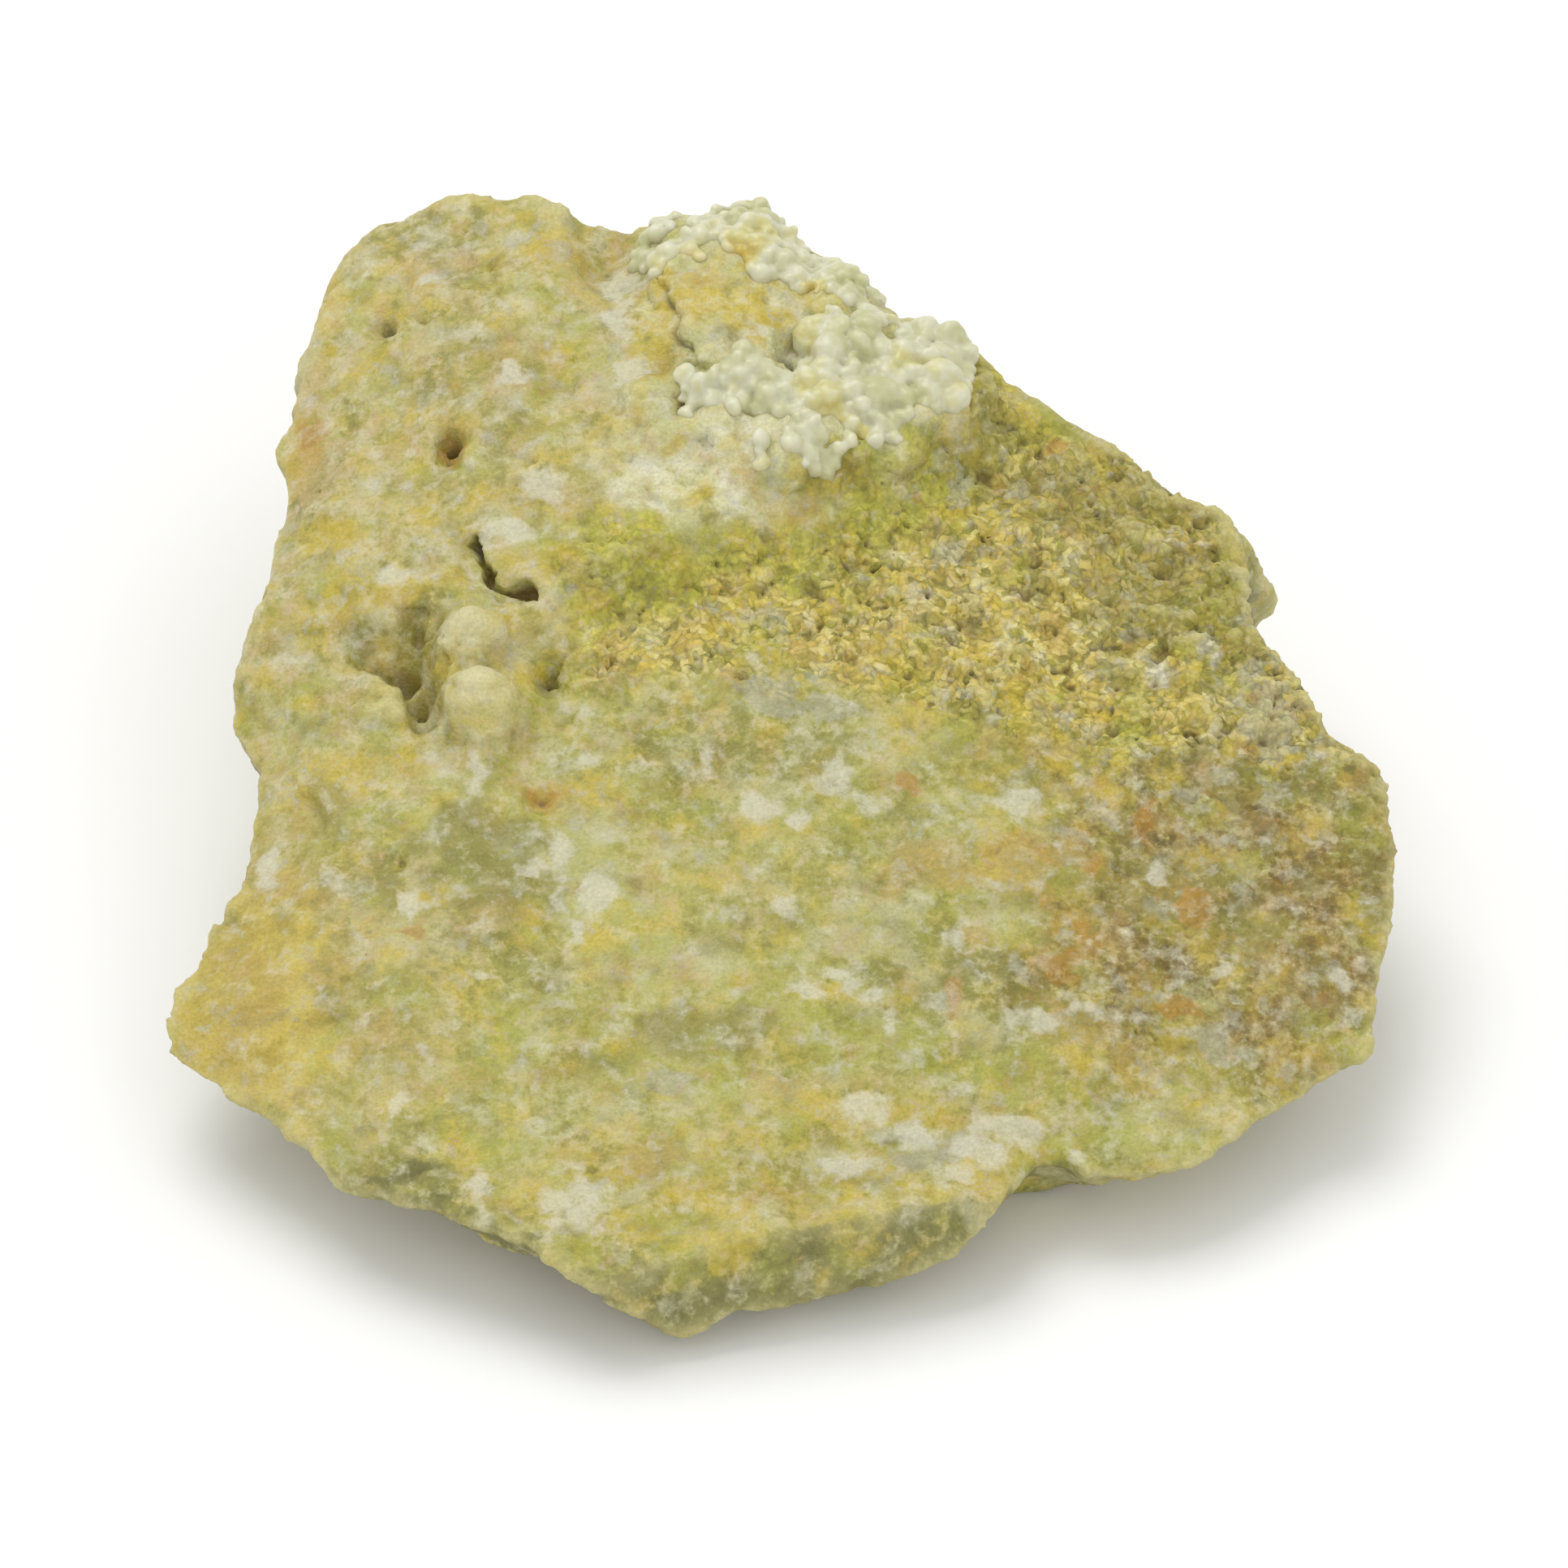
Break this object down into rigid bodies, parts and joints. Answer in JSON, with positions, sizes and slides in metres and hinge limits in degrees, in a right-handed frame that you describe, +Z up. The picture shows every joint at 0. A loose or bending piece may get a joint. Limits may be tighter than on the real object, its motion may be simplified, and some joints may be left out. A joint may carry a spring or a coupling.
{
  "type": "rough green opal",
  "caption": "Rough green opal: a broken wedge-shaped lump with a nodular druse below its crest, a sandy shelf, a smooth sloping apron and a flat underside to rest on.",
  "frame": {"origin": "centre of the bounding box seen from above, on the flat face that the stone rests on", "axes": "+Z up, out of the rest face towards the crest; -Y towards the thin front rim with the small broken facet; +Y towards the high crest at the back; +X to the right seen from the front"},
  "size_m": [0.048, 0.0548, 0.0179],
  "materials": {
    "green_opal": "waxy, dull where it is broken, glossier on the nodules"
  },
  "bodies": {
    "root": {"opal": "green_opal"}
  },
  "joints": []
}
